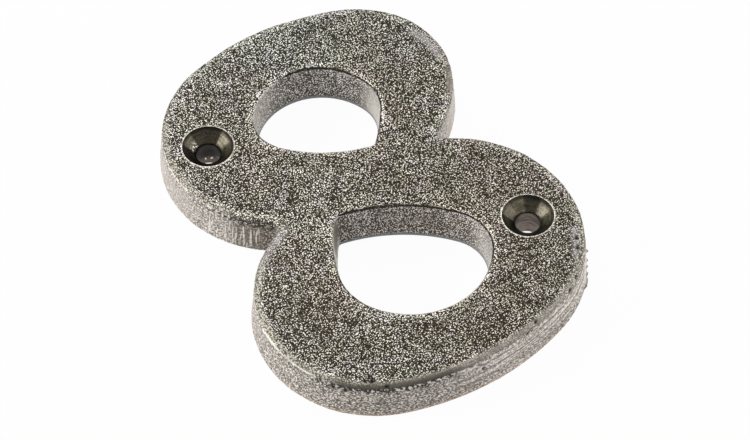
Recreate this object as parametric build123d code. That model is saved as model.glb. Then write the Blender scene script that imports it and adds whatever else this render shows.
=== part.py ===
from build123d import *
import math
import os

# A house number eight, sand cast in one piece, lying on its back.
# +Z leaves the face, +Y is the top of the numeral and +X its right as it is read.
# Sizes are in millimetres and angles in degrees.
# The outlines are drawn at the back, where the casting is widest, and every wall leans in from there to the face.

# Casting
thickness = 7.0
draft_angle = 5.0
face_edge_radius = 0.8
counter_edge_radius = 0.4
notch_radius = 0.5

# Screw holes, bored through and countersunk from the face
screw_bore = 4.3
countersink_diameter = 8.3
countersink_angle = 90.0

# Places of the screw holes: a direction from the centre of an end round, and the distance in from that round's wall
upper_hole_direction = 170.0
upper_hole_edge_distance = 7.75
lower_hole_direction = -6.3
lower_hole_edge_distance = 8.85

# Place of the upper bowl, measured from the middle of the lower bowl
bowl_spacing = 36.1
upper_bowl_shift = 0.9

# Upper bowl: an oval of two end rounds, joined by arcs that bow out past the straight line between them
upper_bowl_span = 16.9
upper_bowl_tilt = 13.2
upper_bowl_right_radius = 16.2
upper_bowl_left_radius = 19.65
upper_bowl_top_bow = 1.55
upper_bowl_bottom_bow = 2.5

# Lower bowl, drawn in the same way
lower_bowl_span = 16.2
lower_bowl_tilt = 11.5
lower_bowl_right_radius = 21.35
lower_bowl_left_radius = 19.7
lower_bowl_top_bow = 1.6
lower_bowl_bottom_bow = 1.4

# Upper counter: a tight corner at the lower right and two large rounds, placed from the middle of the upper bowl
upper_corner_x = 3.75
upper_corner_y = -10.35
upper_corner_radius = 0.6
upper_counter_right_x = 2.55
upper_counter_right_y = -1.85
upper_counter_right_radius = 6.45
upper_counter_left_x = -4.8
upper_counter_left_y = -0.7
upper_counter_left_radius = 6.0
upper_counter_flank_bow = 0.15
upper_counter_top_bow = 2.2
upper_counter_bottom_bow = 1.0

# Lower counter: a tight corner at the upper left and two large rounds, placed from the middle of the lower bowl
lower_corner_x = -6.5
lower_corner_y = 12.6
lower_corner_radius = 0.6
lower_counter_left_x = -2.3
lower_counter_left_y = 1.2
lower_counter_left_radius = 9.0
lower_counter_right_x = 5.6
lower_counter_right_y = 0.4
lower_counter_right_radius = 6.8
lower_counter_flank_bow = 0.75
lower_counter_bottom_bow = 2.15
lower_counter_top_bow = 1.6

# How far a cutting tool runs past the face and the back
cut_overlap = 1.0


def on_circle(centre, radius, angle):
    """Point of a circle in the drawing plane, the angle in degrees."""
    turn = math.radians(angle)
    return centre + Vector(radius * math.cos(turn), radius * math.sin(turn))


def direction_of(start, end):
    """Angle in degrees of the line from one point to another."""
    return math.degrees(math.atan2(end.Y - start.Y, end.X - start.X))


def arc_about(centre, start, end):
    """Arc about a centre, anticlockwise from one point to another.

    The circle's own start lies opposite the arc, so that no wall drawn from it begins on a seam.
    """
    first = direction_of(centre, start)
    sweep = (direction_of(centre, end) - first) % 360
    away = on_circle(Vector(0, 0), 1, first + sweep / 2 + 180)
    plane = Plane(origin=centre, x_dir=away, z_dir=(0, 0, 1))
    return Edge.make_circle((start - centre).length, plane, 180 - sweep / 2, 180 + sweep / 2)


def long_arc_centre(first, second, bow):
    """Centre of the long arc that holds two rounds inside it and touches both.

    For rounds of one radius the arc rises by the bow over the straight line that touches them,
    and for any two rounds and any bow above zero such an arc exists.
    """
    first_centre, first_radius = first
    second_centre, second_radius = second
    line = second_centre - first_centre
    span = line.length
    along = line / span
    inward = Vector(-along.Y, along.X)
    radius = (first_radius + second_radius) / 2 + span**2 / (8 * bow) + bow / 2
    from_first = radius - first_radius
    from_second = radius - second_radius
    shift = (from_first**2 - from_second**2 + span**2) / (2 * span)
    depth = math.sqrt(from_first**2 - shift**2)
    return first_centre + along * shift + inward * depth


def closed_outline(rounds, bows):
    """Face of a smooth closed outline: rounds in anticlockwise order, each joined to the next by a bowed arc."""
    following = rounds[1:] + rounds[:1]
    centres = [long_arc_centre(a, b, bow) for a, b, bow in zip(rounds, following, bows)]
    edges = []
    for index, (centre, radius) in enumerate(rounds):
        next_centre, next_radius = following[index]
        before = centres[index - 1]
        after = centres[index]
        arrive = on_circle(centre, radius, direction_of(before, centre))
        leave = on_circle(centre, radius, direction_of(after, centre))
        land = on_circle(next_centre, next_radius, direction_of(after, next_centre))
        edges.append(arc_about(centre, arrive, leave))
        edges.append(arc_about(after, leave, land))
    return make_face(edges)


def oval_rounds(middle, span, tilt, right_radius, left_radius):
    """The two end rounds of a bowl, as centres and radii."""
    right = (on_circle(middle, span / 2, tilt), right_radius)
    left = (on_circle(middle, span / 2, tilt + 180), left_radius)
    return [right, left]


def screw_hole(place):
    """Cutting tool for one screw hole: a plain bore with a cone opening at the face."""
    slope = math.tan(math.radians(countersink_angle / 2))
    cone_depth = (countersink_diameter - screw_bore) / 2 / slope
    bore = Cylinder(screw_bore / 2, thickness + cut_overlap, align=(Align.CENTER, Align.CENTER, Align.MIN))
    cone = Cone(
        bottom_radius=screw_bore / 2,
        top_radius=countersink_diameter / 2 + cut_overlap * slope,
        height=cone_depth + cut_overlap,
        align=(Align.CENTER, Align.CENTER, Align.MIN),
    )
    through = Pos(place.X, place.Y, -cut_overlap) * bore
    flare = Pos(place.X, place.Y, thickness - cone_depth) * cone
    return through + flare


def hole_place(end_round, direction, edge_distance):
    """Centre of a screw hole, in from the wall of the end round that holds it."""
    centre, radius = end_round
    return on_circle(centre, radius - edge_distance, direction)


# Outer outline of the back: two ovals that overlap at the waist, their meeting corners eased to notches
lower_middle = Vector(0, 0)
upper_middle = Vector(upper_bowl_shift, bowl_spacing)
upper_rounds = oval_rounds(
    upper_middle, upper_bowl_span, upper_bowl_tilt, upper_bowl_right_radius, upper_bowl_left_radius
)
lower_rounds = oval_rounds(
    lower_middle, lower_bowl_span, lower_bowl_tilt, lower_bowl_right_radius, lower_bowl_left_radius
)
upper_bowl = closed_outline(upper_rounds, [upper_bowl_top_bow, upper_bowl_bottom_bow])
lower_bowl = closed_outline(lower_rounds, [lower_bowl_top_bow, lower_bowl_bottom_bow])
outline = upper_bowl + lower_bowl
upper_wire = upper_bowl.face().outer_wire()
lower_wire = lower_bowl.face().outer_wire()
notches = [
    corner
    for corner in outline.vertices()
    if upper_wire.distance_to(corner) < 0.001 and lower_wire.distance_to(corner) < 0.001
]
outline = fillet(notches, notch_radius)

# Counters, each in its own bowl
upper_counter = closed_outline(
    [
        (upper_middle + Vector(upper_corner_x, upper_corner_y), upper_corner_radius),
        (upper_middle + Vector(upper_counter_right_x, upper_counter_right_y), upper_counter_right_radius),
        (upper_middle + Vector(upper_counter_left_x, upper_counter_left_y), upper_counter_left_radius),
    ],
    [upper_counter_flank_bow, upper_counter_top_bow, upper_counter_bottom_bow],
)
lower_counter = closed_outline(
    [
        (lower_middle + Vector(lower_corner_x, lower_corner_y), lower_corner_radius),
        (lower_middle + Vector(lower_counter_left_x, lower_counter_left_y), lower_counter_left_radius),
        (lower_middle + Vector(lower_counter_right_x, lower_counter_right_y), lower_counter_right_radius),
    ],
    [lower_counter_flank_bow, lower_counter_bottom_bow, lower_counter_top_bow],
)

# The casting: outer walls lean in to the face and the counters open out to it, so that it leaves a mould
profile = outline - upper_counter - lower_counter
casting = extrude(profile, amount=thickness, taper=draft_angle)

# Edges of the face, the outer one rolled over more than those of the counters
front = casting.faces().sort_by(Axis.Z)[-1]
casting = fillet(front.outer_wire().edges(), face_edge_radius)
front = casting.faces().sort_by(Axis.Z)[-1]
counter_edges = [edge for wire in front.inner_wires() for edge in wire.edges()]
casting = fillet(counter_edges, counter_edge_radius)

# Screw holes, one in the left stroke of the upper bowl and one in the right stroke of the lower bowl
upper_hole = hole_place(upper_rounds[1], upper_hole_direction, upper_hole_edge_distance)
lower_hole = hole_place(lower_rounds[0], lower_hole_direction, lower_hole_edge_distance)
casting = casting - screw_hole(upper_hole) - screw_hole(lower_hole)

# The part's origin is the middle of its back
middle_of_back = casting.bounding_box().center()
number_eight = Pos(-middle_of_back.X, -middle_of_back.Y, 0) * casting

os.makedirs("parts", exist_ok=True)
export_step(number_eight, "parts/number_eight.step")

box = number_eight.bounding_box()
print("size", round(box.size.X, 3), round(box.size.Y, 3), round(box.size.Z, 3))
print("volume", round(number_eight.volume, 1))
for name, place in (("upper hole", upper_hole), ("lower hole", lower_hole)):
    print(name, round(place.X - middle_of_back.X, 3), round(place.Y - middle_of_back.Y, 3))
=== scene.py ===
import math

import bmesh
import bpy
import numpy as np
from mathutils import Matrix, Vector, geometry, kdtree


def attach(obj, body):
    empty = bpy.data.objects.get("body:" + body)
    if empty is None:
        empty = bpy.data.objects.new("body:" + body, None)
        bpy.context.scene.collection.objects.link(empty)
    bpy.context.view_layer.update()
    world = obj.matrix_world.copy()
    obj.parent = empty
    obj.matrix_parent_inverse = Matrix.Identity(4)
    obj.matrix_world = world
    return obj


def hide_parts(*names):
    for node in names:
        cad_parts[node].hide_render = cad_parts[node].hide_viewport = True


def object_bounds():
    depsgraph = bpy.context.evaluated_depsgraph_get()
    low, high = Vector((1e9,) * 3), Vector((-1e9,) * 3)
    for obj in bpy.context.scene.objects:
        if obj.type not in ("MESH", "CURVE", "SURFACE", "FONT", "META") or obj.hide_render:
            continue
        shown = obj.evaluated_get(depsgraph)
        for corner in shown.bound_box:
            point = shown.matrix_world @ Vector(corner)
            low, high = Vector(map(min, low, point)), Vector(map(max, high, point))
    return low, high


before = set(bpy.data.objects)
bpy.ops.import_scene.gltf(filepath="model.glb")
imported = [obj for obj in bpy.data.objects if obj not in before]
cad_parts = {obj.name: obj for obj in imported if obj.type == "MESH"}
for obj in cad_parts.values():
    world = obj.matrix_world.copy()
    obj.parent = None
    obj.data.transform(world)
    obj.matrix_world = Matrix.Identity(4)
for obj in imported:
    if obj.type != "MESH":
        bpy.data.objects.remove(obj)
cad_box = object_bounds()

bl_info = {
    "name": "Cast house number eight",
    "version": (1, 0, 0),
    "blender": (4, 5, 0),
    "location": "3D View > Sidebar > Numeral",
    "description": "Dresses the packed numeral as a sand casting with a rubbed pewter finish",
    "category": "Object",
}

MM = 0.001

# Size of the skin's grains in millimetres: really about 0.1, drawn at over twice that so that they show
GRAIN = 0.23

NODE = "number_eight"
BODY = "root"

# Parts of the surface, as numbers on its faces
FACE, ROLLED_EDGE, WALL, COUNTER_EDGE, COUNTER_WALL, COUNTERSINK, BORE, BACK = range(8)


def linear(hex_colour):
    """Linear red, green, blue and alpha of an sRGB hex colour."""
    parts = [int(hex_colour[i : i + 2], 16) / 255 for i in (1, 3, 5)]
    return tuple(c / 12.92 if c <= 0.04045 else ((c + 0.055) / 1.055) ** 2.4 for c in parts) + (1.0,)


def length(name, description, millimetres):
    """A size that a user may change, given here in millimetres."""
    return bpy.props.FloatProperty(
        name=name, description=description, default=millimetres * MM, unit="LENGTH", precision=5
    )


def degrees(name, description, value):
    """An angle that a user may change, given here in degrees."""
    return bpy.props.FloatProperty(
        name=name, description=description, default=math.radians(value), subtype="ANGLE"
    )


def colour(name, description, hex_colour):
    """A colour that a user may change."""
    value = linear(hex_colour)[:3]
    return bpy.props.FloatVectorProperty(
        name=name, description=description, default=value, subtype="COLOR", size=3, min=0, max=1
    )


class CastingForm(bpy.types.PropertyGroup):
    """Sizes of the casting's surface."""

    step: length("Mesh step", "Spacing of points on the face and the walls", 0.27)
    back_step: length("Back step", "Spacing of points on the back", 0.6)
    hole_step: length("Hole step", "Spacing of points round a screw hole", 0.16)
    draft: degrees("Draft", "Lean of the walls", 5)
    rolled_edge: length("Rolled edge", "Radius of the outer edge of the face", 0.8)
    counter_edge: length("Counter edge", "Radius of the counters' edges", 0.4)
    back_edge: length("Back edge", "Radius of the edges of the back", 0.15)
    countersink: length("Countersink", "Diameter of a countersink at the face", 8.3)
    countersink_angle: degrees("Countersink angle", "Full angle of the cone", 90)
    facets: bpy.props.IntProperty(name="Facets", description="Chatter facets round a countersink", default=9)
    facet_turn: degrees("Facet turn", "Direction of the middle of one facet", 10)
    facet_flatness: bpy.props.FloatProperty(
        name="Facet flatness", description="0 for a round cone, 1 for flat facets", default=0.5, min=0, max=1
    )
    lacquer_lip: length("Lacquer lip", "Thickness of the lacquer at the foot of a countersink", 0.12)
    steep_side: length("Steep side", "How far the upper counter's right wall stands in at the face", 0.3)


class CastingSkin(bpy.types.PropertyGroup):
    """Relief of the sand-cast skin."""

    grit_size: length("Grit size", "Width of the sand's grains in the skin", 0.8)
    grit_depth: length("Grit depth", "Depth of the grit on the face", 0.035)
    wall_grit_depth: length("Wall grit depth", "Depth of the grit on the walls", 0.07)
    wave_size: length("Wave size", "Length of the skin's slow waves", 7.0)
    wave_depth: length("Wave depth", "Depth of the slow waves", 0.1)
    pit_depth: length("Pit depth", "Depth of the blow holes", 0.3)
    chatter_pitch: length("Chatter pitch", "Spacing of the upright file marks", 0.9)
    chatter_depth: length("Chatter depth", "Depth of the upright file marks", 0.12)
    groove_pitch: length("Groove pitch", "Spacing of the grinding lines along the right flank", 0.4)
    groove_depth: length("Groove depth", "Depth of the grinding lines", 0.04)
    flash_height: length("Flash height", "Height of the flash beads on the right flank", 0.4)


class CastingFinish(bpy.types.PropertyGroup):
    """Colours of the finish."""

    # Also used for the painted dark reflection along the counters' rear edges
    hollow: colour("Hollow", "Dark wax left in the skin's hollows", "#282318")
    middle: colour("Middle", "Half-rubbed skin", "#716b5f")
    speck: colour("Speck", "Metal rubbed bright on the high grains", "#faf8f9")
    cool: colour("Cool", "Tone of the wax at the head of the numeral", "#f8feff")
    warm: colour("Warm", "Tone of the wax at its foot", "#f4ece4")
    lilac: colour("Lilac", "One tint of the wax, in patches", "#fcfafa")
    olive: colour("Olive", "Other tint of the wax", "#fbfdf3")
    wall_dark: colour("Wall, dark", "Hollows of the walls", "#5d554a")
    wall_middle: colour("Wall, middle", "Ground metal of the walls", "#958c83")
    # Also used for painted highlights and glints
    wall_light: colour("Wall, light", "Bright grains of the walls", "#f4eee7")
    # Also painted shade on the far side of the rolled edge
    edge_dark: colour("Edge, dark", "Smooth metal of the rolled edge", "#4f4a41")
    edge_light: colour("Edge, light", "Rubbed metal of the rolled edge", "#bdb9ac")
    # Painted brownish reflection on the right front of the rolled edge
    edge_brown: colour("Edge, brown", "Wax on the right front of the rolled edge", "#877e78")
    smooth_band: colour("Smooth band", "Bare, smooth stretches along the rim", "#b6b1b2")
    # Painted shade, olive, along the right rim of the upper bowl
    rim_wax: colour("Rim", "Olive wax along the right rim of the upper bowl", "#7f7b70")
    # Also the painted shade in the corner of the lower counter
    counter_dark: colour("Counter, dark", "Wax on the walls of the counters", "#50473a")
    counter_middle: colour("Counter, middle", "Half-rubbed skin of the counters", "#b6ab96")
    # Painted light at the ends of the counters; also their pale front edges
    counter_pale: colour("Counter, pale", "Smooth right ends of the counters", "#d3cec6")
    # Blue-grey line at the foot of the counters
    counter_foot: colour("Counter, foot", "Bare line at the foot of the counters", "#8b8f94")
    # Painted dark reflection along the front of the rolled edge; also the colour of the flash beads
    band_wax: colour("Band", "Shiny wax left along the front of the rolled edge", "#544f47")
    bare_metal: colour("Bare metal", "Edges worn to bare metal", "#f6efe2")
    # Also used for painted shade and dark reflections on the counters' edges, the countersinks and the upper
    # bore
    pit_black: colour("Pit", "Bottom of a blow hole", "#15130f")
    rust: colour("Rust", "Thin rust at the foot of the walls", "#dcb9a2")
    lacquer_dark: colour("Lacquer, dark", "Blackened metal of the countersinks", "#4a463c")
    # Painted highlight on the countersinks' lit facets
    lacquer_light: colour("Lacquer, light", "Rubbed facets of the countersinks", "#77735f")
    # Painted shade on the wall of the upper screw hole; also the colour of the drill rings
    bore_dark: colour("Bore, dark", "Oiled wall of the upper screw hole", "#251f18")
    # Also painted light at the foot of the upper screw hole
    bore_light: colour("Bore, light", "Drilled wall of the lower screw hole", "#7d7068")


class NumeralStage(bpy.types.PropertyGroup):
    """Camera and light."""

    camera_place: bpy.props.FloatVectorProperty(
        name="Camera",
        description="Place of the camera",
        default=(-0.1582, -0.3116, 0.4466),
        subtype="TRANSLATION",
    )
    camera_target: bpy.props.FloatVectorProperty(
        name="Target",
        description="Point in the middle of the picture",
        default=(-0.000175, -0.001461, 0.0),
        subtype="TRANSLATION",
    )
    lens: bpy.props.FloatProperty(name="Lens", description="Focal length", default=168.0, unit="CAMERA")
    floor_size: length("Floor", "Side of the floor", 6000.0)
    sky: bpy.props.FloatProperty(name="Sky", description="Strength of the light from all round", default=0.36)


# Sides, as directions in the plan of the numeral: the front of the display and its right
FRONT_SIDE = np.array((-0.454, -0.891))
RIGHT_SIDE = np.array((0.891, -0.454))

# Lines on the surface that carry what the mould and the finisher left there, for the relief and the finish.
# Each name has a reach and the places that its lines go through, in millimetres.
LINES = {
    # Front left edge, worn to bare metal
    "worn": (0.29, [
        [
            (-28.1, -16.5, 6.6), (-27.63, -20.85, 6.5), (-26.7, -24.58, 6.4),
            (-25.5, -27.7, 6.4), (-24.3, -29.6, 6.4),
        ],
    ]),
    # Painted dark reflection along the front edge
    "dark_band": (1.4, [
        [
            (-24.1, -29.9, 6.4), (-20.2, -33.9, 6.45), (-16.0, -35.9, 6.5),
            (-10.9, -37.4, 6.5), (-5.6, -38.0, 6.5), (-2.5, -38.1, 6.5),
        ],
    ]),
    # Painted shade, olive, along the right rim of the upper bowl
    "dark_rim": (1.1, [
        [(22.6, 18.4, 6.9), (22.5, 16.1, 6.9), (21.6, 14.1, 6.9), (20.4, 11.7, 6.8), (18.7, 9.7, 6.8)],
    ]),
    # Bare, smooth stretches along the rim
    "smooth": (1.2, [
        [(20.6, 27.2, 7.0), (22.2, 23.0, 7.0), (22.5, 20.4, 7.0), (22.2, 18.1, 7.0)],
        [(25.0, -21.5, 7.0), (24.3, -23.7, 7.0), (23.1, -26.2, 7.0), (22.1, -28.3, 7.0)],
        [
            (22.9, -27.8, 6.9), (20.6, -30.5, 6.9), (17.2, -33.0, 6.9),
            (12.7, -35.3, 6.9), (7.6, -36.9, 6.9), (0.1, -37.7, 6.9),
        ],
        [(-15.0, -0.8, 7.0), (-18.3, -2.7, 7.0), (-21.2, -4.8, 6.9), (-23.3, -7.0, 6.9), (-25.7, -10.5, 6.9)],
    ]),
    # Edges of the waist notches, where the skin runs on over the edge
    "notch": (2.2, [
        [(-23.0, 5.6, 6.8), (-20.3, 2.8, 6.8), (-18.0, 1.1, 6.6), (-17.1, 0.4, 6.5), (-17.8, -1.5, 6.8)],
        [(21.0, 12.6, 6.8), (19.0, 10.0, 6.8), (16.0, 6.6, 6.6), (14.3, 4.8, 6.9), (15.8, 4.0, 6.8)],
    ]),
    # Painted dark reflection on the rear edges of the counters
    "arris": (0.65, [
        [(-7.6, -2.4, 7.0), (-2.6, -3.6, 7.0), (1.8, -5.1, 7.0), (5.8, -7.3, 7.0), (9.3, -10.3, 6.9)],
        [(-1.9, 27.8, 7.0), (2.6, 26.7, 7.0), (6.0, 24.9, 7.0), (8.4, 21.7, 6.9)],
    ]),
    # Painted shade in the corner of the lower counter
    "corner": (5.0, [[(-7.9, -3.2, 4.5), (-9.2, -5.1, 4.5), (-10.0, -6.6, 4.5)]]),
    # Wall beside the left notch: painted shade, and filed upright
    "shaded": (6.0, [[(-23.0, 5.6, 3.0), (-18.0, 1.1, 3.0), (-14.5, -2.0, 3.0)]]),
    "chatter": (5.5, [[(-26.0, 10.0, 3.0), (-23.0, 5.0, 3.0), (-18.7, 1.0, 3.0)]]),
    # Front wall, ground lengthwise
    "ground": (6.0, [
        [(-8.0, -37.8, 4.0), (0.0, -38.3, 4.0), (8.8, -36.7, 4.0), (18.4, -32.5, 4.0), (26.0, -25.0, 4.0)],
    ]),
    # Right flank, where the mould's halves met
    "flash": (2.4, [[(25.3, -25.1, 6.2), (24.5, -26.8, 4.3), (24.1, -27.7, 1.9), (23.4, -28.9, 0.4)]]),
}

# Spots on the surface: place and radius in millimetres
BLOW_HOLES = [
    (-18.2, -33.4, 7.0, 0.4),
    (-17.2, -33.9, 7.0, 0.5),
    (-15.7, -36.0, 6.75, 0.45),
    (-21.4, -32.9, 5.4, 0.45),
    (-22.8, -31.5, 5.4, 0.45),
    (0.05, -38.24, 4.4, 0.4),
    (8.8, -36.63, 6.1, 0.45),
    (10.6, -35.5, 6.95, 0.4),
    (18.5, -32.45, 6.4, 0.45),
    (20.6, -30.7, 6.7, 0.4),
    (23.5, -25.7, 7.0, 0.4),
    (24.3, -23.9, 7.0, 0.4),
    (12.5, -32.3, 7.0, 0.4),
]
FLASH_BEADS = [
    (24.85, -26.1, 5.6, 0.25),
    (24.5, -26.85, 4.25, 0.25),
    (24.3, -27.3, 3.3, 0.3),
    (24.15, -27.7, 1.9, 0.45),
    (24.0, -28.1, 0.9, 0.5),
    (23.7, -28.5, 0.7, 0.45),
    (23.4, -28.85, 0.6, 0.4),
]

# Patches of the face that were rubbed brighter, and patches where more wax was left
BRIGHT_PATCHES = [
    (-13.5, -4.0, 7.0, 4.5),
    (13.4, -14.0, 7.0, 3.5),
    (7.0, 25.0, 7.0, 4.0),
    (-1.0, 34.2, 7.0, 4.0),
]
WAXED_PATCHES = [(-20.5, -18.0, 7.0, 4.5), (10.0, -33.0, 7.0, 4.5), (2.5, -34.5, 7.0, 3.5)]

# How softly lines and spots end: share of a line that fades at each end, and radii out to which a spot fades
LINE_FADE = 0.15
SPOT_END = 1.4

# Painted light on the facets of the countersinks, as directions in degrees from the hole: above zero a
# painted highlight, below zero painted shade
FACET_LIGHTS = [(50.0, -0.5), (-30.0, 0.9), (-70.0, 0.7)]
UPPER_HOLE_LIGHTS = [(90.0, -0.35), (130.0, -0.45), (170.0, -0.7)]
LOWER_HOLE_LIGHTS = [(90.0, 0.6), (130.0, -0.35), (170.0, -0.3)]

# Half width of a facet's painted light and the softness of its sides, in degrees
LIGHT_HALF_WIDTH = 23
LIGHT_SOFTNESS = 6

# Middle and half width, in degrees, of the steep wall of the upper counter
STEEP_DIRECTION = 12
STEEP_HALF_WIDTH = 60

# Mesh: fine points per step while an outline is smoothed, and how far off two of them show its heading,
# the most that points crowd in a bend, and how close the net of a flat comes to its border, in steps
FINE_POINTS = 8
HEADING_SPAN = 4
MOST_CROWDING = 2.0
NET_CLEARANCE = 0.62

# Rows of points up a bore and up a cone, least rows over a rounded edge, and their spacing there in steps
BORE_ROWS = 15
CONE_ROWS = 12
LEAST_EDGE_ROWS = 3
EDGE_STEP = 0.75

# Soft lamps: name, place and side in metres, and power in watts
LAMPS = [
    ("softbox_left", (-0.75, 0.30, 0.26), 0.40, 5.6),
    ("softbox_right", (0.80, -0.20, 0.26), 0.50, 4.6),
    ("softbox_top", (-0.10, 0.55, 0.80), 0.80, 2.4),
]

# Gap under the casting, in millimetres, and how much of the floor's light is plain white, with no shadow
FLOOR_GAP = 0.02
FLOOR_WHITE = 0.96

# Ways to work out a value: a kind of node and its settings
PLUS = ("ShaderNodeMath", {"operation": "ADD"})
LESS = ("ShaderNodeMath", {"operation": "SUBTRACT"})
TIMES = ("ShaderNodeMath", {"operation": "MULTIPLY"})
MOST = ("ShaderNodeMath", {"operation": "MAXIMUM"})
RANGE = ("ShaderNodeMapRange", {"interpolation_type": "SMOOTHSTEP"})
SHARE = ("ShaderNodeMix", {"data_type": "FLOAT"})
BLEND = ("ShaderNodeMix", {"data_type": "RGBA"})
TINT = ("ShaderNodeMix", {"data_type": "RGBA", "blend_type": "MULTIPLY"})


def add(tree, kind, links=None, stops=(), **settings):
    """Adds a node with its settings, and sets or links its inputs.

    An input in use goes by its number or its name, and takes a value, a socket or a node's first output.
    """
    node = tree.nodes.new(kind)
    for name, value in settings.items():
        setattr(node, name, value)
    for index, (position, shade) in enumerate(stops):
        elements = node.color_ramp.elements
        element = elements[index] if index < 2 else elements.new(position)
        element.position = position
        element.color = shade
    inputs = [socket for socket in node.inputs if socket.enabled]
    for key, value in (links or {}).items():
        socket = inputs[key] if isinstance(key, int) else next(one for one in inputs if one.name == key)
        if isinstance(value, bpy.types.Node):
            value = next(output for output in value.outputs if output.enabled)
        if isinstance(value, bpy.types.NodeSocket):
            tree.links.new(value, socket)
        else:
            socket.default_value = value
    return node


def work_out(tree, values, step):
    """Adds the nodes of one step, which is a way and its inputs, and returns the last one.

    An input is a number, the name of an earlier result or a step of its own. Sums take two inputs or more.
    """
    (kind, settings), *inputs = step
    found = []
    for one in inputs:
        if isinstance(one, tuple):
            one = work_out(tree, values, one)
        elif isinstance(one, str):
            one = values[one]
        found.append(one)
    if kind != "ShaderNodeMath":
        return add(tree, kind, dict(enumerate(found)), **settings)
    result = found[0]
    for other in found[1:]:
        result = add(tree, kind, {0: result, 1: other}, **settings)
    return result


def chain(tree, values, steps):
    """Works out steps in turn, each with its result's name first.

    A blend of only a share and a colour lays that colour over the result so far of the same name.
    """
    for name, way, *inputs in steps:
        if way is BLEND and len(inputs) == 2:
            inputs.insert(1, name)
        values[name] = work_out(tree, values, (way, *inputs))


def back_outlines(node):
    """Closed outlines of the casting's back in millimetres, longest first and then lowest first.

    Each has the metal on its left and starts at its rightmost point, so that every run gives the same mesh.
    """
    mesh = bmesh.new()
    mesh.from_mesh(node.data)
    bmesh.ops.remove_doubles(mesh, verts=mesh.verts, dist=0.001 * MM)
    back = {face for face in mesh.faces if max(abs(v.co.z) for v in face.verts) < 0.001 * MM}
    following = {}
    for face in back:
        for corner in face.loops:
            if any(other not in back for other in corner.edge.link_faces):
                following[corner.link_loop_next.vert] = corner.vert
    outlines = []
    while following:
        start, point = following.popitem()
        outline = [start, point]
        while point is not start:
            point = following.pop(point)
            outline.append(point)
        points = np.array([v.co.xy for v in outline[:-1]]) / MM
        outlines.append(np.roll(points, -points[:, 0].argmax(), 0))
    mesh.free()
    return sorted(outlines, key=lambda points: (-round(side_lengths(points).sum(), 1), points[:, 1].mean()))


def side_lengths(points):
    """Lengths of the sides of a closed outline."""
    return np.linalg.norm(np.roll(points, -1, 0) - points, axis=1)


def smooth_outline(points, step):
    """Points on the smooth curve through an outline, closer in its bends, and their outward directions."""
    ahead = np.roll(points, -1, 0)
    tangent = ahead - np.roll(points, 1, 0)
    tangent /= np.linalg.norm(tangent, axis=1)[:, None]
    pieces = []
    for start, end, leave, arrive in zip(points, ahead, tangent, np.roll(tangent, -1, 0)):
        span = np.linalg.norm(end - start)
        count = max(2, math.ceil(span * FINE_POINTS / step))
        t = np.arange(count)[:, None] / count
        piece = (2 * t**3 - 3 * t**2 + 1) * start + (t**3 - 2 * t**2 + t) * span * leave
        piece += (3 * t**2 - 2 * t**3) * end + (t**3 - t**2) * span * arrive
        pieces.append(piece)
    curve = np.concatenate(pieces)
    spans = side_lengths(curve)
    across = np.roll(curve, -HEADING_SPAN, 0) - np.roll(curve, HEADING_SPAN, 0)
    heading = np.unwrap(np.arctan2(across[:, 1], across[:, 0]))
    bend = np.abs(np.gradient(heading)) / spans
    bend[0] = bend[-1] = bend[1]
    crowding = 1 + np.minimum(bend, MOST_CROWDING)
    travelled = np.concatenate([[0], np.cumsum(crowding * spans)])
    count = round(travelled[-1] / step)
    places = np.interp(np.arange(count) * travelled[-1] / count, travelled, np.arange(len(travelled)))
    low = places.astype(int)
    share = (places - low)[:, None]
    chosen = curve[low] * (1 - share) + np.roll(curve, -1, 0)[low] * share
    away = np.column_stack([across[low][:, 1], -across[low][:, 0]])
    return chosen, away / np.linalg.norm(away, axis=1)[:, None]


def wall_section(height, draft, face_radius, back_radius, step):
    """Section of a wall from back to face: inset, height, and a share that falls from 1 to 0 at its edge."""
    rows = []
    for angle in (0, math.radians(45)):
        rise = back_radius * (1 - math.cos(angle))
        rows.append((back_radius * (1 - math.sin(angle)) + rise * math.tan(draft), rise, 1.0))
    centre_height = height - face_radius
    centre_inset = (face_radius + centre_height * math.sin(draft)) / math.cos(draft)
    top = centre_height + face_radius * math.sin(draft)
    for rise in np.linspace(back_radius, top, round((top - back_radius) / step) + 1)[:-1]:
        rows.append((rise * math.tan(draft), rise, 1.0))
    turn = math.pi / 2 - draft
    count = max(LEAST_EDGE_ROWS, round(face_radius * turn / (step * EDGE_STEP)))
    for index in range(count + 1):
        angle = draft + turn * index / count
        inset = centre_inset - face_radius * math.cos(angle)
        rows.append((inset, centre_height + face_radius * math.sin(angle), 1 - index / count))
    return rows


def hole_section(height, bore_radius, form):
    """Sections of a screw hole's bore and cone, from back to face: inset from the bore, height, facets."""
    rim = form.back_edge / MM / 2
    lip = form.lacquer_lip / MM
    reach = form.countersink / MM / 2 - bore_radius
    depth = reach / math.tan(form.countersink_angle / 2)
    start = height - depth
    bore = [(rim, 0.0, 0.0), (rim * 0.3, rim * 0.3, 0.0)]
    for rise in np.linspace(rim, start - lip, BORE_ROWS):
        bore.append((-lip * float(soft(rise / start * 3 - 2)), rise, 0.0))
    cone = []
    # The facets fade in over the first sixth of the cone and out over its last eighth
    for share in np.arange(CONE_ROWS) / CONE_ROWS:
        inset = share * reach - lip * (1 - share)
        cone.append((inset, start + share * depth, min(1.0, 6 * share, 8 * (1 - share))))
    # The edge at the face is rounded
    cone.append((reach - rim * 0.4, height - rim * 0.4, 0.0))
    cone.append((reach, height - rim * 0.1, 0.0))
    cone.append((reach + rim * 0.6, height, 0.0))
    return bore, cone


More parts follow.
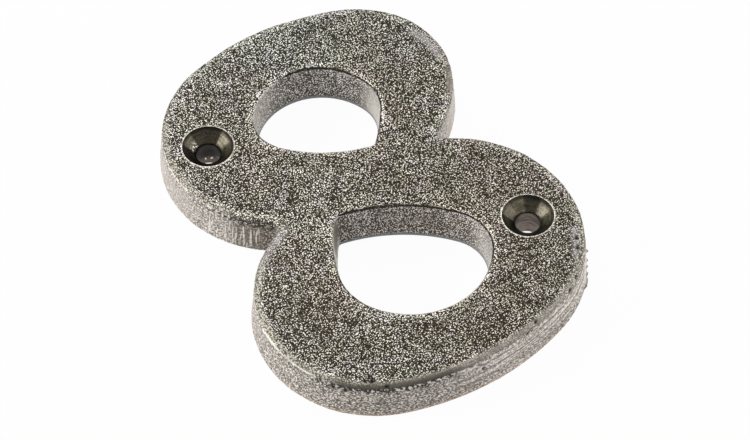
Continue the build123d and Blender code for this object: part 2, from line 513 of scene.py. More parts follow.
class Surface:
    """Points, faces and the numbers that go with them, gathered piece by piece."""

    def __init__(self):
        self.points = []
        self.faces = []
        self.zones = []
        self.rolls = []
        self.aways = []
        self.shines = []

    def sweep(self, rings, heights, rolls, away, zones, shine):
        """Adds a closed wall of rings, and returns the numbers of its points on the back and on the face."""
        first = len(self.points)
        count = len(away)
        for ring, height, roll in zip(rings, heights, rolls):
            self.points.extend((x, y, height) for x, y in ring)
            self.rolls.extend([roll] * count)
            self.aways.extend(away)
            self.shines.extend(np.broadcast_to(shine, count))
        for row, zone in enumerate(zones):
            base = first + row * count
            for column in range(count):
                right = (column + 1) % count
                self.faces.append((base + column, base + right, base + count + right, base + count + column))
                self.zones.append(zone)
        last = len(self.points) - count
        return list(range(first, first + count)), list(range(last, last + count))

    def fill(self, loops, step, height, zone):
        """Fills the flat between closed loops of points with an even net of triangles, facing up or down."""
        borders = [np.array([self.points[i][:2] for i in loop]) for loop in loops]
        inner = net_points(borders, step)
        numbers = [i for loop in loops for i in loop]
        numbers += range(len(self.points), len(self.points) + len(inner))
        border = len(numbers) - len(inner)
        flat = [Vector(p) for p in (*np.concatenate(borders), *inner)]
        sides = []
        for loop in loops:
            base = len(sides)
            sides += [(base + i, base + (i + 1) % len(loop)) for i in range(len(loop))]
        found, _, triangles, origin, _, _ = geometry.delaunay_2d_cdt(flat, sides, [], 0, 1e-6)
        self.points.extend((x, y, height) for x, y in inner)
        self.rolls.extend([0.0 if zone == FACE else 1.0] * len(inner))
        self.aways.extend([(0.0, 0.0)] * len(inner))
        self.shines.extend([0.0] * len(inner))
        for triangle in triangles:
            corners = [origin[i][0] for i in triangle]
            middle = sum((found[i] for i in triangle), Vector((0, 0))) / 3
            if max(corners) >= border or inside(borders, *middle):
                named = [numbers[i] for i in corners]
                self.faces.append(tuple(named if zone == FACE else reversed(named)))
                self.zones.append(zone)


def inside(loops, across, y):
    """Tells which places on a level line lie between the outer loop and the inner ones."""
    crossings = []
    for loop in loops:
        ahead = np.roll(loop, -1, 0)
        cut = (loop[:, 1] > y) != (ahead[:, 1] > y)
        start, run = loop[cut], ahead[cut] - loop[cut]
        crossings.extend(start[:, 0] + (y - start[:, 1]) * run[:, 0] / run[:, 1])
    return np.searchsorted(sorted(crossings), across) % 2 == 1


def gaps_to(points, others):
    """Distance from each point to the nearest of some others."""
    tree = kdtree.KDTree(len(others))
    for index, other in enumerate(others):
        tree.insert((*other, 0.0)[:3], index)
    tree.balance()
    return np.array([tree.find((*point, 0.0)[:3])[2] for point in points])


def net_points(loops, step):
    """Points of an even triangular net between closed loops, none of them close to a loop."""
    border = np.concatenate(loops)
    low = border.min(0)
    high = border.max(0)
    net = []
    for row, y in enumerate(np.arange(low[1] + step / 2, high[1], step * math.sqrt(3) / 2)):
        across = np.arange(low[0] + (row % 2) * step / 2, high[0], step)
        net += [(x, y) for x in across[inside(loops, across, y)]]
    return [point for point, gap in zip(net, gaps_to(net, border)) if gap > step * NET_CLEARANCE]


def near_line(points, line, reach):
    """How near points lie to a line through some places: from 1 on it to 0 at its reach and its ends."""
    line = np.array(line)
    best = np.zeros(len(points))
    lengths = np.linalg.norm(np.diff(line, axis=0), axis=1)
    ends = np.concatenate([[0], np.cumsum(lengths)]) / lengths.sum()
    for index in range(len(line) - 1):
        start, run = line[index], line[index + 1] - line[index]
        share = np.clip((points - start) @ run / (run @ run), 0, 1)
        gap = np.linalg.norm(points - start - share[:, None] * run, axis=1)
        along = ends[index] + share * (ends[index + 1] - ends[index])
        fade = np.clip(np.minimum(along, 1 - along) / LINE_FADE, 0, 1)
        best = np.maximum(best, soft(1 - gap / reach) * soft(fade))
    return best


def near_spots(points, spots):
    """How near points lie to some round spots: from 1 in the middle of one to 0 past its radius."""
    best = np.zeros(len(points))
    for *place, radius in spots:
        gap = np.linalg.norm(points - place, axis=1)
        best = np.maximum(best, soft(SPOT_END - gap / radius))
    return best


def soft(share):
    """Smooth step of values clipped to the range from 0 to 1."""
    share = np.clip(share, 0, 1)
    return share * share * (3 - 2 * share)


def steep_lean(outline, most):
    """How far a counter's wall stands in at the face: most of it to the upper right, none elsewhere."""
    middle = outline.mean(0)
    direction = np.degrees(np.arctan2(*(outline - middle).T[::-1]))
    return most * soft(1 - np.abs(direction - STEEP_DIRECTION) / STEEP_HALF_WIDTH)


def build_casting(form):
    """The casting's surface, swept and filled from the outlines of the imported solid's back."""
    height = cad_box[1][2] / MM
    step = form.step / MM
    outlines = back_outlines(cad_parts[NODE])
    outer, *counters = [smooth_outline(points, step) for points in outlines[:3]]
    counters.sort(key=lambda counter: counter[0][:, 1].mean())
    surface = Surface()
    walls = [(outer, form.rolled_edge, WALL, ROLLED_EDGE, 0.0)]
    for counter, steep in zip(counters, (0.0, form.steep_side / MM)):
        lean = steep_lean(counter[0], steep)
        walls.append((counter, form.counter_edge, COUNTER_WALL, COUNTER_EDGE, lean))
    loops = []
    for (outline, away), radius, wall, edge, lean in walls:
        section = wall_section(height, form.draft, radius / MM, form.back_edge / MM, step)
        insets, heights, rolls = zip(*section)
        shifts = [inset - lean * (rise / height) ** 2 for inset, rise in zip(insets, heights)]
        rings = [outline - away * np.reshape(shift, (-1, 1)) for shift in shifts]
        upright = rolls.count(1.0) - 1
        zones = [wall] * upright + [edge] * (len(rolls) - 1 - upright)
        loops.append(surface.sweep(rings, heights, rolls, away, zones, 0.0))
    for points in outlines[3:]:
        loops.append(sweep_hole(surface, points, height, form))
    back_loops, face_loops = zip(*loops)
    surface.fill(face_loops, step, height, FACE)
    surface.fill(back_loops, form.back_step / MM, 0.0, BACK)
    return surface, face_loops


def sweep_hole(surface, points, height, form):
    """Adds a screw hole, its cone cut in facets that carry a painted highlight or painted shade."""
    middle = (points.min(0) + points.max(0)) / 2
    radius = np.linalg.norm(points - middle, axis=1).mean()
    count = form.facets * round(2 * math.pi * radius / (form.hole_step / MM) / form.facets)
    width = 2 * math.pi / form.facets
    turn = -2 * math.pi * np.arange(count) / count
    angle = turn + form.facet_turn + width / 2
    away = -np.column_stack([np.cos(angle), np.sin(angle)])
    flat = 1 - math.cos(width / 2) / np.cos(-turn % width - width / 2)
    shine = np.zeros(count)
    # Each facet gets a painted highlight or painted shade by its direction
    for direction, lighting in FACET_LIGHTS + (UPPER_HOLE_LIGHTS if middle[1] > 0 else LOWER_HOLE_LIGHTS):
        off = np.degrees(np.angle(np.exp(1j * (angle - math.radians(direction)))))
        shine += lighting * soft((LIGHT_HALF_WIDTH - np.abs(off)) / LIGHT_SOFTNESS)
    bore, cone = hole_section(height, radius, form)
    insets, heights, shares = zip(*bore, *cone)
    rings = []
    for inset, share in zip(insets, shares):
        shift = flat * (radius + inset) * share * form.facet_flatness
        rings.append(middle - away * radius - away * inset + away * shift[:, None])
    zones = [BORE] * len(bore) + [COUNTERSINK] * (len(cone) - 1)
    return surface.sweep(rings, heights, [0.0] * len(rings), away, zones, shine)


def casting_mesh(form):
    """Mesh of the casting, with the numbers that its relief and its finish read."""
    surface, (outer, lower_counter, upper_counter, lower_hole, upper_hole) = build_casting(form)
    points = np.array(surface.points)
    mesh = bpy.data.meshes.new("casting")
    mesh.from_pydata((points * MM).tolist(), [], surface.faces)
    zones = np.array(surface.zones, np.int32)
    mesh.attributes.new("zone", "INT", "FACE").data.foreach_set("value", zones)
    in_counter = np.zeros(len(points))
    for number in np.flatnonzero((zones == COUNTER_WALL) | (zones == COUNTER_EDGE)):
        in_counter[list(surface.faces[number])] = 1.0
    aways = np.array(surface.aways)
    numbers = {
        "roll": surface.rolls,
        "shine": surface.shines,
        "counter": in_counter,
        "front": aways @ FRONT_SIDE,
        "across": aways @ RIGHT_SIDE,
        "edge_gap": gaps_to(points, points[outer]),
        "counter_gap": gaps_to(points, points[lower_counter + upper_counter]),
        "rim_gap": gaps_to(points, points[lower_hole + upper_hole]),
        "patch": near_spots(points, BRIGHT_PATCHES) - near_spots(points, WAXED_PATCHES),
        "bead": near_spots(points, FLASH_BEADS),
        "pit": near_spots(points, BLOW_HOLES),
    }
    for name, (reach, lines) in LINES.items():
        numbers[name] = np.max([near_line(points, line, reach) for line in lines], axis=0)
    for name, values in numbers.items():
        mesh.attributes.new(name, "FLOAT", "POINT").data.foreach_set("value", np.asarray(values, np.float32))
    mesh.shade_smooth()
    return mesh


def relief_tree():
    """Node tree that presses the sand's grit, waves, pits and tool marks into the casting's surface."""
    tree = bpy.data.node_groups.new("cast_skin_relief", "GeometryNodeTree")
    sockets = tree.interface
    sockets.new_socket("Surface", in_out="INPUT", socket_type="NodeSocketGeometry")
    for name in CastingSkin.__annotations__:
        sockets.new_socket(name, in_out="INPUT", socket_type="NodeSocketFloat")
    for name in MATERIALS:
        sockets.new_socket(name, in_out="INPUT", socket_type="NodeSocketMaterial")
    sockets.new_socket("Surface", in_out="OUTPUT", socket_type="NodeSocketGeometry")
    values = {socket.name: socket for socket in add(tree, "NodeGroupInput").outputs}
    place = add(tree, "GeometryNodeInputPosition")
    for name in ("roll", "pit", "chatter", "ground", "bead"):
        values[name] = add(tree, "GeometryNodeInputNamedAttribute", {"Name": name}, data_type="FLOAT")

    # Patterns from 0 to 1, each with the size of its grains, its detail and any stretch.
    # Noise lies from about 0.3 to 0.7, so that range is spread out.
    for name, size, detail, *stretch in (
        ("grit", "grit_size", 2.0),
        ("waves", "wave_size", 0.0),
        ("upright", "chatter_pitch", 1.0, 1, 1, 0.12),
        ("level", "groove_pitch", 1.0, 0.06, 0.06, 1),
    ):
        stretch = stretch or (1, 1, 1)
        stretched = add(tree, "ShaderNodeVectorMath", {0: place, 1: stretch}, operation="MULTIPLY")
        scale = add(tree, "ShaderNodeMath", {0: 1.0, 1: values[size]}, operation="DIVIDE")
        noise = add(tree, "ShaderNodeTexNoise", {"Vector": stretched, "Scale": scale, "Detail": detail})
        values[name] = add(tree, "ShaderNodeMapRange", {0: noise, 1: 0.3, 2: 0.7})

    # Depth below the smooth surface, so that the skin stays inside the solid; only the flash stands out of it
    chain(tree, values, [
        ("grit_here", SHARE, "roll", "grit_depth", "wall_grit_depth"),
        ("depth", PLUS,
            (TIMES, "grit", "grit_here"),
            (TIMES, "waves", "wave_depth"),
            (TIMES, "pit", "pit_depth"),
            (TIMES, "upright", "chatter", "roll", "chatter_depth"),
            (TIMES, "level", "ground", "roll", "groove_depth")),
        ("outward", LESS, (TIMES, "bead", "flash_height"), "depth"),
    ])
    normal = add(tree, "GeometryNodeInputNormal")
    offset = add(tree, "ShaderNodeVectorMath", {0: normal, 1: values["outward"]}, operation="SCALE")

    zone = add(tree, "GeometryNodeInputNamedAttribute", {"Name": "zone"}, data_type="INT")
    solid = {"A": zone, "B": COUNTERSINK}
    moving = add(tree, "FunctionNodeCompare", solid, data_type="INT", operation="LESS_THAN")
    moved = {"Geometry": values["Surface"], "Selection": moving, "Offset": offset}
    shaped = add(tree, "GeometryNodeSetPosition", moved)
    real = add(tree, "GeometryNodeRealizeInstances", {"Geometry": shaped})
    dressed = add(tree, "GeometryNodeSetMaterial", {"Geometry": real, "Material": values["skin"]})
    for start, name in ((COUNTERSINK, "countersinks"), (BORE, "bores"), (BACK, "back")):
        later = {"A": zone, "B": start}
        chosen = add(tree, "FunctionNodeCompare", later, data_type="INT", operation="GREATER_EQUAL")
        dress = {"Geometry": dressed, "Selection": chosen, "Material": values[name]}
        dressed = add(tree, "GeometryNodeSetMaterial", dress)
    add(tree, "NodeGroupOutput", {"Surface": dressed})
    return tree


def empty_tree(owner):
    """Empty node tree of a material or a world."""
    owner.use_nodes = True
    owner.node_tree.nodes.clear()
    return owner.node_tree


def new_material(name, finish, attributes, patterns):
    """New material, its node tree, and what its nodes read by name.

    These are the finish's colours, the place on the piece in millimetres, the numbers of its points,
    and patterns from 0 to 1, each with the size of its grains in millimetres, its detail and any stretch.
    """
    material = bpy.data.materials.new(name)
    tree = empty_tree(material)
    values = {tone: (*getattr(finish, tone), 1.0) for tone in CastingFinish.__annotations__}
    metres = add(tree, "ShaderNodeTexCoord").outputs["Object"]
    values["place"] = add(tree, "ShaderNodeVectorMath", {0: metres, 1: 1 / MM}, operation="SCALE")
    axes = add(tree, "ShaderNodeSeparateXYZ", {0: values["place"]}).outputs
    values.update(side=axes["X"], along=axes["Y"], height=axes["Z"])
    for attribute in attributes:
        values[attribute] = add(tree, "ShaderNodeAttribute", attribute_name=attribute).outputs["Fac"]
    for pattern, size, detail, *stretch in patterns:
        scale = [share / size for share in stretch or (1, 1, 1)]
        scaled = add(tree, "ShaderNodeVectorMath", {0: values["place"], 1: scale}, operation="MULTIPLY")
        values[pattern] = add(tree, "ShaderNodeTexNoise", {"Vector": scaled, "Scale": 1.0, "Detail": detail})
    return material, tree, values


def end_material(tree, inputs):
    """Ends a material's tree with its shader."""
    shader = add(tree, "ShaderNodeBsdfPrincipled", inputs)
    add(tree, "ShaderNodeOutputMaterial", {"Surface": shader})


def rubbed_cast_iron(finish):
    """Cast iron, sand cast, coated with dark wax and rubbed back to a pewter tone.

    The wax stays in the hollows and the high grains shine, which gives the eye a dense pepper of light specks
    on olive grey. The walls were ground before, so they are lighter and finer.
    """
    gaps = ("edge_gap", "rim_gap", "counter_gap")
    numbers = ("roll", "counter", "front", "across", *gaps, "patch", "bead", "pit", *LINES)
    patterns = [
        ("grains", GRAIN, 0.0),
        ("clouds", 2.4, 2.0),
        ("tones", 11.0, 1.0),
        ("hues", 3.0, 1.0),
        ("wall_grains", 0.2, 0.0, 0.6, 0.6, 1),
        ("upright", 0.3, 1.0, 1, 1, 0.06),
        ("level", 0.36, 0.0, 0.03, 0.03, 1),
        ("ragged", 0.5, 2.0),
    ]
    material, tree, values = new_material("rubbed_cast_iron", finish, numbers, patterns)
    values["cells"] = add(tree, "ShaderNodeTexVoronoi", {"Vector": values["place"], "Scale": 1 / GRAIN})
    chain(tree, values, [
        # How far each grain was rubbed: more in clouds, along the edges of the face and in bright patches
        ("rubbed", PLUS,
            (LESS, "grains", "cells"),
            (RANGE, "clouds", 0.3, 0.7, 0.26, 0.34),
            (RANGE, "edge_gap", 0.0, 1.2, 0.1, 0.0),
            (RANGE, "counter_gap", 0.0, 1.4, 0.11, 0.0)),
        ("contrast", RANGE, "along", -14.0, 4.0, -0.02, 0.14),
        ("rubbed", PLUS, "rubbed", (TIMES, (LESS, "rubbed", 0.45), "contrast"), (TIMES, "patch", 0.035)),

        # Tone of the wax, cool at the head and warm at the foot, and its tint in patches
        ("warmth", PLUS, (RANGE, "along", 42.0, 16.0, 0.0, 0.5), (RANGE, "tones", 0.35, 0.65, 0.0, 0.25)),
        ("tone", BLEND, (RANGE, "warmth", 0.0, 1.0), "cool", "warm"),
        ("tint", BLEND, (RANGE, "hues", 0.4, 0.6), "lilac", "olive"),

        # Walls: smooth to the left, at the back and beside the upper bowl, with file marks and grinding lines
        ("smooth_wall", MOST,
            (TIMES,
                (RANGE, "across", -0.35, -0.85, 0.0, 0.75),
                (RANGE, "along", -5.0, 5.0, 0.3, 1.0),
                (RANGE, "height", 4.2, 6.0, 1.0, 0.35)),
            (TIMES, "chatter", 0.45),
            (RANGE, "front", 0.1, -0.3, 0.0, 0.4),
            (TIMES, (RANGE, "across", 0.5, 0.85, 0.0, 0.95), (RANGE, "along", 2.0, 12.0))),
        ("marks", SHARE, "smooth_wall", "wall_grains", 0.58),
        ("lined", TIMES, "ground", (RANGE, "height", 5.6, 6.3, 1.0, 0.3)),
        ("marks", SHARE, (TIMES, "lined", 0.5), "marks", "level"),
        # Painted shade darkens the wall's marks beside the left notch
        ("marks", LESS, (PLUS, "marks", (TIMES, "lined", 0.05)), (TIMES, "shaded", 0.14)),
        ("streaks", TIMES, (RANGE, "upright", 0.53, 0.6, 0.0, 0.85), "chatter"),
    ])

    # Colours by how far the skin was rubbed, and those of the walls by their marks
    for name, source, stops in (
        ("face_colour", "rubbed", [(0.27, "hollow"), (0.45, "middle"), (0.63, "speck")]),
        ("edge_colour", "rubbed", [(0.22, "edge_dark"), (0.64, "edge_light")]),
        ("counter_colour", "rubbed", [(0.385, "counter_dark"), (0.432, "counter_middle"), (0.455, "speck")]),
        ("wall_colour", "marks", [(0.32, "wall_dark"), (0.5, "wall_middle"), (0.68, "wall_light")]),
    ):
        stops = [(position, values[tone]) for position, tone in stops]
        values[name] = add(tree, "ShaderNodeValToRGB", {0: values[source]}, stops)

    chain(tree, values, [
        # The face, with bare bands along its rim
        ("colour", TINT, 1.0, (TINT, 1.0, "face_colour", "tone"), "tint"),
        ("colour", BLEND, (TIMES, (RANGE, "grains", 0.4, 0.6, 0.3, 0.8), "smooth"), "smooth_band"),

        # The rolled edge, its border broken by the grains, with a painted brownish reflection at the right
        # front, painted shade along the right rim of the upper bowl and painted shade at the far side
        ("brown", TIMES,
            (RANGE, "front", 0.2, 0.7), (RANGE, "across", -0.1, 0.3), (RANGE, "grains", 0.4, 0.6, 0.85, 0.3)),
        ("edge_colour", BLEND, "brown", "edge_brown"),
        ("edge_colour", BLEND, "dark_rim", "rim_wax"),
        ("outer", LESS, 1.0, "counter"),
        ("plain", LESS, 1.0, "notch"),
        ("breaks", RANGE, "grains", 0.35, 0.65, -0.15, 0.15),
        ("broken_roll", PLUS, "roll", "breaks"),
        ("broken_gap", PLUS, "edge_gap", "breaks"),
        ("on_edge", MOST, (RANGE, "broken_roll", 0.05, 0.35), (RANGE, "broken_gap", 0.55, 0.3)),
        ("on_edge", TIMES, "on_edge", "outer", (RANGE, "front", -0.4, 0.2, 0.25, 1.0), "plain"),
        ("colour", BLEND, "on_edge", "edge_colour"),
        ("far_edge", TIMES,
            (RANGE, "front", 0.0, -0.6, 0.0, 0.6),
            (RANGE, "across", -0.4, 0.3, 0.3, 1.0),
            (RANGE, "roll", 0.4, 0.9),
            "outer"),
        ("colour", BLEND, "far_edge", "edge_dark"),

        # The walls
        ("wall_colour", BLEND, "streaks", "wall_light"),
        ("colour", BLEND, (TIMES, (RANGE, "broken_roll", 0.75, 0.95), "outer"), "wall_colour"),

        # The counters, with painted light at both ends and painted shade in the corner of the lower one
        ("counter_colour", TINT, 0.6, "counter_colour", "tone"),
        ("right_end", TIMES,
            (RANGE, "across", -0.45, -0.9),
            (RANGE, "along", -5.0, 5.0, 0.55, 1.0),
            (RANGE, "height", 2.0, 6.0, 1.0, 0.5)),
        ("counter_colour", BLEND, "right_end", "counter_pale"),
        ("left_end", TIMES, (RANGE, "across", 0.5, 1.0, 0.0, 0.4), (RANGE, "along", 0.0, -5.0, 1.0, 2.2)),
        ("counter_colour", BLEND, "left_end", "counter_pale"),
        ("in_corner", PLUS, (RANGE, "ragged", 0.35, 0.65, -0.25, 0.25), "corner"),
        ("counter_colour", BLEND, (RANGE, "in_corner", 0.1, 0.65, 0.0, 0.85), "counter_dark"),
        ("colour", BLEND, (TIMES, (RANGE, "broken_roll", 0.3, 0.6), "counter"), "counter_colour"),

        # A painted dark reflection along the front edge, and a broken painted highlight where the rolled edge
        # meets the wall
        ("high_line", TIMES, (RANGE, "roll", 0.6, 0.8), (RANGE, "roll", 1.0, 0.92)),
        ("low_line", TIMES, (RANGE, "height", 5.5, 5.8), (RANGE, "height", 6.4, 6.1)),
        ("line", TIMES,
            (SHARE, (RANGE, "across", -0.6, -0.2), "high_line", "low_line"),
            "outer",
            "plain",
            (RANGE, "across", 0.92, 0.7),
            (RANGE, "ragged", 0.56, 0.42, 0.08, 0.8)),
        ("colour", BLEND, "dark_band", "band_wax"),
        ("colour", BLEND, "line", "wall_light"),

        # Dark chips just below the rolled edge, with more of them as painted shade beside the left notch and
        # along the painted dark band
        ("chips", PLUS,
            (RANGE, "height", 5.2, 6.0, 0.0, 0.12),
            "ragged",
            (TIMES, "dark_band", 0.03),
            (TIMES, "shaded", 0.07)),
        ("chips", TIMES,
            (RANGE, "chips", 0.58, 0.63, 0.0, 0.95),
            (RANGE, "height", 4.6, 5.4),
            (RANGE, "height", 6.6, 6.3),
            (RANGE, "across", -0.8, -0.4),
            "outer",
            (RANGE, "front", -0.3, 0.1, 0.15, 1.0),
            (RANGE, "ground", 0.2, 0.6, 1.0, 0.3)),
        ("colour", BLEND, "chips", "hollow"),

        # Edges of the counters: a painted dark reflection at the rear and the left, and pale at the front
        ("on_arris", TIMES, (RANGE, "roll", 0.02, 0.2), (RANGE, "roll", 1.0, 0.8), "counter"),
        ("rear", TIMES,
            (MOST, (RANGE, "front", 0.2, 0.6), (RANGE, "across", -0.3, -0.6)),
            (RANGE, "across", 0.8, 0.45)),
        ("left", TIMES, (RANGE, "across", 0.3, 0.6, 0.0, 0.7), (RANGE, "front", 0.1, -0.2)),
        # Painted dark reflection on the counters' rear and left edges
        ("waxed", TIMES, (MOST, "rear", "left"), (RANGE, "ragged", 0.38, 0.5, 0.7, 1.0), "on_arris"),
        ("colour", BLEND, "waxed", "pit_black"),
        ("colour", BLEND, (TIMES, (RANGE, "ragged", 0.35, 0.5, 0.5, 1.0), "arris"), "hollow"),
        ("near", TIMES, (RANGE, "front", -0.1, -0.6, 0.0, 0.6), (RANGE, "across", 0.5, 0.1), "on_arris"),
        ("colour", BLEND, "near", "counter_pale"),

        # Bare metal round the screw holes and on the worn edge
        ("ring", TIMES, (RANGE, "rim_gap", 0.35, 0.0), (RANGE, "grains", 0.35, 0.55, 0.3, 0.9)),
        ("colour", BLEND, "ring", "bare_metal"),
        ("colour", BLEND, (TIMES, (RANGE, "clouds", 0.3, 0.55, 0.3, 1.0), "worn"), "bare_metal"),

        # Rust at the foot of the front wall, and a blue-grey line at the foot of the counters
        ("rusty", TIMES,
            (RANGE, "height", 0.2, 0.9, 0.35, 0.0),
            "outer",
            (RANGE, "front", 0.4, 0.8),
            (RANGE, "along", -15.0, -25.0)),
        ("colour", BLEND, "rusty", "rust"),
        ("colour", BLEND, (TIMES, (RANGE, "height", 0.3, 0.9, 0.85, 0.0), "counter"), "counter_foot"),

        # Flash and its beads, and the blow holes
        ("colour", BLEND, (TIMES, "flash", 0.6, "roll"), "wall_light"),
        ("colour", BLEND, (RANGE, "bead", 0.1, 0.6, 0.0, 0.75), "band_wax"),
        ("colour", BLEND, "pit", "pit_black"),

        # Shine, and fine relief
        ("roughness", MOST, (RANGE, "rubbed", 0.3, 0.6, 0.5, 0.36), (RANGE, "roll", 0.0, 0.2, 0.0, 0.62)),
        ("metal", RANGE, "roll", 0.2, 0.9, 0.85, 0.35),
        ("relief", PLUS, "grains", "marks"),
    ])
    bump = add(tree, "ShaderNodeBump", {"Height": values["relief"], "Strength": 0.3, "Distance": 0.05 * MM})
    shader = {"Base Color": values["colour"], "Roughness": values["roughness"], "Metallic": values["metal"]}
    end_material(tree, {**shader, "Normal": bump})
    return material


def blackened_countersink(finish):
    """Drilled iron, blackened and lacquered: smooth and olive black, with a painted highlight on some facets
    and painted shade on others.
    """
    patterns = [("rings", 0.35, 2.0, 0.15, 0.15, 1), ("grit", 0.3, 1.0)]
    material, tree, values = new_material("blackened_countersink", finish, ["shine"], patterns)
    chain(tree, values, [
        # Facets with a painted highlight or painted shade, and stains in rings and spots
        ("colour", BLEND, (RANGE, "shine", 0.0, 1.0), "lacquer_dark", "lacquer_light"),
        ("colour", BLEND, (RANGE, "shine", 0.0, -1.0, 0.0, 0.75), "pit_black"),
        ("colour", BLEND, (RANGE, "rings", 0.45, 0.6, 0.0, 0.4), "pit_black"),
        ("colour", BLEND, (RANGE, "grit", 0.5, 0.35, 0.0, 0.5), "pit_black"),

        # Painted glints low down at the left of the upper hole
        ("glint", TIMES,
            (RANGE, "grit", 0.57, 0.66, 0.0, 0.35),
            (RANGE, "side", -20.4, -21.4),
            (RANGE, "height", 6.2, 5.4)),
        ("colour", BLEND, "glint", "wall_light"),

        # Dark upper edge
        ("colour", BLEND, (RANGE, "height", 6.45, 6.8, 0.0, 0.75), "pit_black"),
    ])
    bump = add(tree, "ShaderNodeBump", {"Height": values["rings"], "Strength": 0.25, "Distance": 0.05 * MM})
    end_material(tree, {"Base Color": values["colour"], "Roughness": 0.32, "Metallic": 1.0, "Normal": bump})
    return material


def drilled_bore(finish):
    """Drilled iron: pinkish grey with faint rings from the drill; the upper hole has painted shade, with
    painted light at its foot and painted glints.
    """
    patterns = [("rings", 0.5, 2.0, 0.3, 0.3, 1), ("spots", 0.6, 0.0)]
    material, tree, values = new_material("drilled_bore", finish, [], patterns)
    chain(tree, values, [
        ("lower", RANGE, "side", -1.0, 1.0),
        ("upper", LESS, 1.0, "lower"),
        # The upper hole in painted shade, the lower one in the drilled metal's colour
        ("colour", BLEND, "lower", "bore_dark", "bore_light"),
        ("colour", BLEND, (RANGE, "rings", 0.38, 0.62, 0.0, 0.6), "bore_dark"),
        # Painted light at the foot of the upper hole
        ("foot", TIMES, (RANGE, "height", 0.8, 2.2, 0.6, 0.0), "upper"),
        ("colour", BLEND, "foot", "bore_light"),
        # Painted shade in spots higher up the upper hole
        ("oil", TIMES,
            (RANGE, "spots", 0.56, 0.42, 0.15, 0.9), (RANGE, "height", 1.2, 2.6, 0.15, 1.0), "upper"),
        ("colour", BLEND, "oil", "pit_black"),
        # Painted glints low in the upper hole
        ("glint", TIMES, (RANGE, "spots", 0.66, 0.72, 0.0, 0.9), "upper", (RANGE, "height", 2.4, 1.2)),
        ("colour", BLEND, "glint", "wall_light"),
    ])
    end_material(tree, {"Base Color": values["colour"], "Roughness": 0.4, "Metallic": 0.8})
    return material


def cast_back(finish):
    """Cast iron as it left the sand, waxed but not rubbed: dark, even and slightly rough."""
    material, tree, values = new_material("cast_back", finish, [], [("grit", 0.5, 3.0)])
    chain(tree, values, [("colour", BLEND, "grit", "hollow", "wall_dark")])
    bump = add(tree, "ShaderNodeBump", {"Height": values["grit"], "Strength": 0.4, "Distance": 0.1 * MM})
    end_material(tree, {"Base Color": values["colour"], "Roughness": 0.6, "Metallic": 0.5, "Normal": bump})
    return material


MATERIALS = {
    "skin": rubbed_cast_iron,
    "countersinks": blackened_countersink,
    "bores": drilled_bore,
    "back": cast_back,
}


def put(name, data, place=(0, 0, 0), target=None):
    """Adds an object to the scene, turned to look at a target where it has one."""
    thing = bpy.data.objects.new(name, data)
    thing.location = place
    if target is not None:
        aim = Vector(target) - Vector(place)
        thing.rotation_euler = aim.to_track_quat("-Z", "Y").to_euler()
    bpy.context.scene.collection.objects.link(thing)
    return thing


class NUMERAL_OT_casting(bpy.types.Operator):
    """Makes the casting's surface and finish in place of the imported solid"""

    bl_idname = "numeral.casting"
    bl_label = "Casting"

    def execute(self, context):
        scene = context.scene
        source = put("casting_source", casting_mesh(scene.casting_form))
        tree = relief_tree()
        modifier = source.modifiers.new("relief", "NODES")
        modifier.node_group = tree
        values = {name: getattr(scene.casting_skin, name) for name in CastingSkin.__annotations__}
        values.update({name: make(scene.casting_finish) for name, make in MATERIALS.items()})
        for item in tree.interface.items_tree:
            if item.in_out == "INPUT" and item.name in values:
                modifier[item.identifier] = values[item.name]
        context.view_layer.update()
        shaped = source.evaluated_get(context.evaluated_depsgraph_get())
        mesh = bpy.data.meshes.new_from_object(shaped)
        mesh.name = "casting"
        piece = put("casting", mesh)
        bpy.data.objects.remove(source)
        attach(piece, BODY)
        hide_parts(NODE)
        return {"FINISHED"}


class NUMERAL_OT_stage(bpy.types.Operator):
    """Sets up the floor, the light and the camera"""

    bl_idname = "numeral.stage"
    bl_label = "Stage"

    def execute(self, context):
        scene = context.scene
        stage = scene.numeral_stage
        half = stage.floor_size / 2
        mesh = bpy.data.meshes.new("floor")
        corners = [(-half, -half, 0), (half, -half, 0), (half, half, 0), (-half, half, 0)]
        mesh.from_pydata(corners, [], [(0, 1, 2, 3)])
        mesh.materials.append(white_floor())
        floor = put("floor", mesh, (0, 0, -FLOOR_GAP * MM))
        white_world(scene, stage.sky)
        for name, place, size, power in LAMPS:
            lamp = bpy.data.lights.new(name, "AREA")
            lamp.size = size
            lamp.energy = power
            put(name, lamp, place, target=(0, 0, 0))
        camera = bpy.data.cameras.new("camera")
        camera.lens = stage.lens
        camera.sensor_width = 36.0
        camera.sensor_fit = "HORIZONTAL"
        camera.clip_start = 0.01
        scene.camera = put("camera", camera, stage.camera_place, stage.camera_target)
        scene.view_settings.view_transform = "Standard"
        return {"FINISHED"}


def seen_ray(tree):
    """1 for a ray from the camera, a reflection or a refraction, and 0 for one that carries light."""
    path = add(tree, "ShaderNodeLightPath").outputs
    values = {name: path[name] for name in ("Is Camera Ray", "Is Glossy Ray", "Is Transmission Ray")}
    return work_out(tree, values, (MOST, *values))


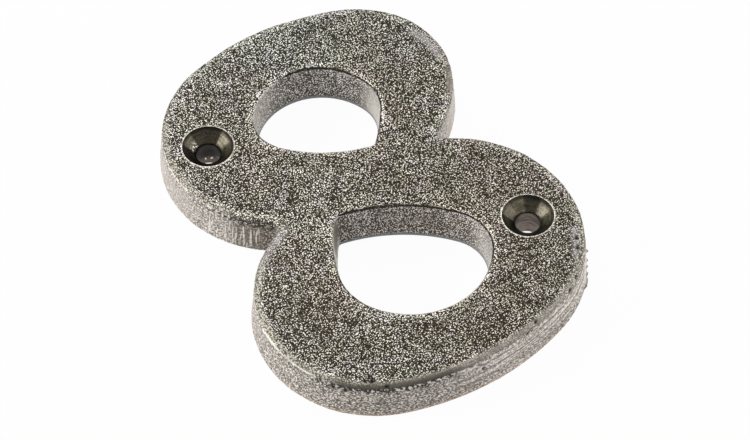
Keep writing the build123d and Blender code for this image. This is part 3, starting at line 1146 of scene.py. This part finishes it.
def white_floor():
    """White paper: seen as plain white, with a faint shadow kept."""
    material = bpy.data.materials.new("white_paper")
    tree = empty_tree(material)
    paper = add(tree, "ShaderNodeBsdfDiffuse", {"Color": linear("#f4f4f4")})
    glow = add(tree, "ShaderNodeEmission", {"Color": (1, 1, 1, 1), "Strength": 1.0})
    share = add(tree, "ShaderNodeMath", {0: seen_ray(tree), 1: FLOOR_WHITE}, operation="MULTIPLY")
    both = add(tree, "ShaderNodeMixShader", {0: share, 1: paper, 2: glow})
    add(tree, "ShaderNodeOutputMaterial", {"Surface": both})
    return material


def white_world(scene, strength):
    """Soft light from all round, seen as white."""
    world = bpy.data.worlds.new("studio")
    tree = empty_tree(world)
    light = add(tree, "ShaderNodeBackground", {"Color": (1, 1, 1, 1), "Strength": strength})
    white = add(tree, "ShaderNodeBackground", {"Color": (1, 1, 1, 1), "Strength": 1.0})
    both = add(tree, "ShaderNodeMixShader", {0: seen_ray(tree), 1: light, 2: white})
    add(tree, "ShaderNodeOutputWorld", {"Surface": both})
    scene.world = world


class NUMERAL_PT_panel(bpy.types.Panel):
    """Lists the numeral's steps"""

    bl_idname = "NUMERAL_PT_panel"
    bl_label = "Cast numeral"
    bl_space_type = "VIEW_3D"
    bl_region_type = "UI"
    bl_category = "Numeral"

    def draw(self, context):
        for group in GROUPS:
            settings = getattr(context.scene, group)
            box = self.layout.box()
            for name in settings.__annotations__:
                box.prop(settings, name)
        self.layout.operator(NUMERAL_OT_casting.bl_idname)
        self.layout.operator(NUMERAL_OT_stage.bl_idname)


GROUPS = {
    "casting_form": CastingForm,
    "casting_skin": CastingSkin,
    "casting_finish": CastingFinish,
    "numeral_stage": NumeralStage,
}
CLASSES = (*GROUPS.values(), NUMERAL_OT_casting, NUMERAL_OT_stage, NUMERAL_PT_panel)


def register():
    for cls in CLASSES:
        bpy.utils.register_class(cls)
    for name, group in GROUPS.items():
        setattr(bpy.types.Scene, name, bpy.props.PointerProperty(type=group))


def unregister():
    for name in GROUPS:
        delattr(bpy.types.Scene, name)
    for cls in reversed(CLASSES):
        bpy.utils.unregister_class(cls)


def main():
    register()
    bpy.ops.numeral.casting()
    bpy.ops.numeral.stage()


if __name__ == "__main__":
    main()
